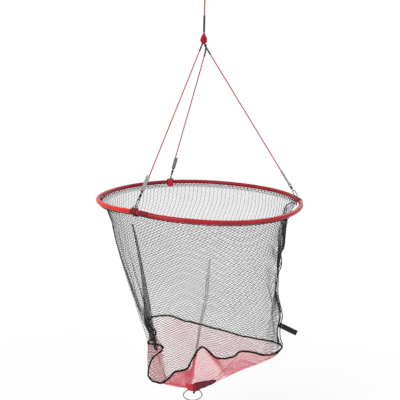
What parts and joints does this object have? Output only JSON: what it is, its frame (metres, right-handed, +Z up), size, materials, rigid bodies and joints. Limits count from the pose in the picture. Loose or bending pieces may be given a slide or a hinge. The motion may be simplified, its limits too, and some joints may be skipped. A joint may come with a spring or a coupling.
{
  "type": "drop net",
  "caption": "Hoop net that is lowered on a rope and bridle to lift a catch: sprung hoop, deep two-mesh bag, laced side and a pull ring.",
  "frame": {"origin": "inside top of the hand loop that holds the net up, straight above the bridle knot", "axes": "+Z up along the rope, +X towards the bag's laced side, -Y towards the camera; the hoop's level is Z = -0.660"},
  "size_m": [0.599, 0.5956, 1.273],
  "materials": {
    "rope": "braided synthetic rope, dark pinkish red",
    "black_sleeve": "black shrink sleeve",
    "knot_red": "red whipped knot",
    "crimp": "dull grey crimp",
    "black_nickel": "dark plated wire and barrel",
    "steel": "plain steel wire",
    "sleeve_red": "glossy red hoop sleeve",
    "webbing": "dark red webbing",
    "black_cord": "black lacing cord",
    "black_net": "fine black knotted netting",
    "red_net": "fine red knotted netting",
    "strap": "black webbing"
  },
  "bodies": {
    "hand_loop": {"hang_loop": "rope", "loop_knot": "rope"},
    "rope": {"main_rope": "rope", "rope_sleeve": "black_sleeve", "bridle_knot": "knot_red"},
    "net": {"hoop_wire": "steel", "hoop_sleeve": "sleeve_red", "hoop_cuff": "sleeve_red", "rim_cord": "black_cord", "opening_cord": "black_cord", "net_wall": "black_net", "side_lacing": "black_cord", "seam_cord": "black_cord", "net_bottom": "red_net", "leg_cap_front_left": "black_sleeve", "leg_cord_front_left": "rope", "crimp_sleeve_front_left": "crimp", "swivel_eye_upper_front_left": "black_nickel", "swivel_eye_lower_front_left": "black_nickel", "snap_frame_front_left": "black_nickel", "anchor_ring_front_left": "steel", "anchor_tab_front_left": "webbing", "leg_cap_back_left": "black_sleeve", "leg_cord_back_left": "rope", "crimp_sleeve_back_left": "crimp", "swivel_eye_upper_back_left": "black_nickel", "swivel_eye_lower_back_left": "black_nickel", "snap_frame_back_left": "black_nickel", "anchor_ring_back_left": "steel", "anchor_tab_back_left": "webbing", "leg_cap_right": "black_sleeve", "leg_cord_right": "rope", "crimp_sleeve_right": "crimp", "swivel_eye_upper_right": "black_nickel", "swivel_eye_lower_right": "black_nickel", "snap_frame_right": "black_nickel", "anchor_ring_right": "steel", "anchor_tab_right": "webbing"},
    "bag_end": {"cod_roll": "webbing", "cod_tie": "black_cord"},
    "ring": {"bottom_ring": "steel"},
    "strap_patch": {"strap_base": "strap"},
    "strap": {"strap": "strap"},
    "swivel_front_left": {"swivel_barrel_front_left": "black_nickel"},
    "swivel_back_left": {"swivel_barrel_back_left": "black_nickel"},
    "swivel_right": {"swivel_barrel_right": "black_nickel"},
    "gate_front_left": {"snap_gate_front_left": "steel"},
    "gate_back_left": {"snap_gate_back_left": "steel"},
    "gate_right": {"snap_gate_right": "steel"}
  },
  "joints": [
    {"name": "rope_turn", "type": "hinge", "parent": "hand_loop", "child": "rope", "pos_m": [0, 0, -0.0857], "axis": [0, 0, 1], "continuous": true},
    {"name": "net_swing", "type": "hinge", "parent": "rope", "child": "net", "pos_m": [0, 0, -0.2105], "axis": [0, 1, 0], "range_deg": [-20, 20]},
    {"name": "swivel_spin_front_left", "type": "hinge", "parent": "net", "child": "swivel_front_left", "pos_m": [-0.15477, -0.21695, -0.61085], "axis": [0.321, 0.4508, 0.8329], "continuous": true},
    {"name": "swivel_spin_back_left", "type": "hinge", "parent": "net", "child": "swivel_back_left", "pos_m": [-0.08952, 0.25055, -0.62195], "axis": [0.2048, -0.5298, 0.8231], "continuous": true},
    {"name": "swivel_spin_right", "type": "hinge", "parent": "net", "child": "swivel_right", "pos_m": [0.26609, 0.01605, -0.62144], "axis": [-0.5493, -0.0412, 0.8346], "continuous": true},
    {"name": "gate_open_front_left", "type": "hinge", "parent": "net", "child": "gate_front_left", "pos_m": [-0.15741, -0.22067, -0.62367], "axis": [-0.8143, 0.5805, -0.0004], "range_deg": [0, 16], "stiffness_Nm_per_rad": 0.02, "springref_deg": -5.73},
    {"name": "gate_open_back_left", "type": "hinge", "parent": "net", "child": "gate_back_left", "pos_m": [-0.09131, 0.25499, -0.63469], "axis": [0.9385, 0.3452, -0.0113], "range_deg": [0, 16], "stiffness_Nm_per_rad": 0.02, "springref_deg": -5.73},
    {"name": "gate_open_right", "type": "hinge", "parent": "net", "child": "gate_right", "pos_m": [0.27059, 0.01642, -0.63428], "axis": [0.0652, -0.9978, -0.0064], "range_deg": [0, 16], "stiffness_Nm_per_rad": 0.02, "springref_deg": -5.73},
    {"name": "bag_collapse", "type": "slide", "parent": "net", "child": "bag_end", "axis": [0, 0, 1], "range_m": [0, 0.42], "deforming": ["net_wall", "net_bottom", "seam_cord", "side_lacing", "opening_cord"]},
    {"name": "ring_swing", "type": "hinge", "parent": "bag_end", "child": "ring", "pos_m": [-0.002, -0.0405, -1.236], "axis": [1, 0, 0], "range_deg": [-60, 60]},
    {"name": "strap_lift", "type": "slide", "parent": "net", "child": "strap_patch", "axis": [0, 0, 1], "range_m": [0, 0.32]},
    {"name": "strap_flap", "type": "hinge", "parent": "strap_patch", "child": "strap", "pos_m": [0.256, -0.0215, -1.0335], "axis": [0.3726, -0.0149, 0.9279], "range_deg": [-35, 35]}
  ],
  "couplings": [
    {"joint": "strap_lift", "follows": "bag_collapse", "ratio": 0.74}
  ]
}
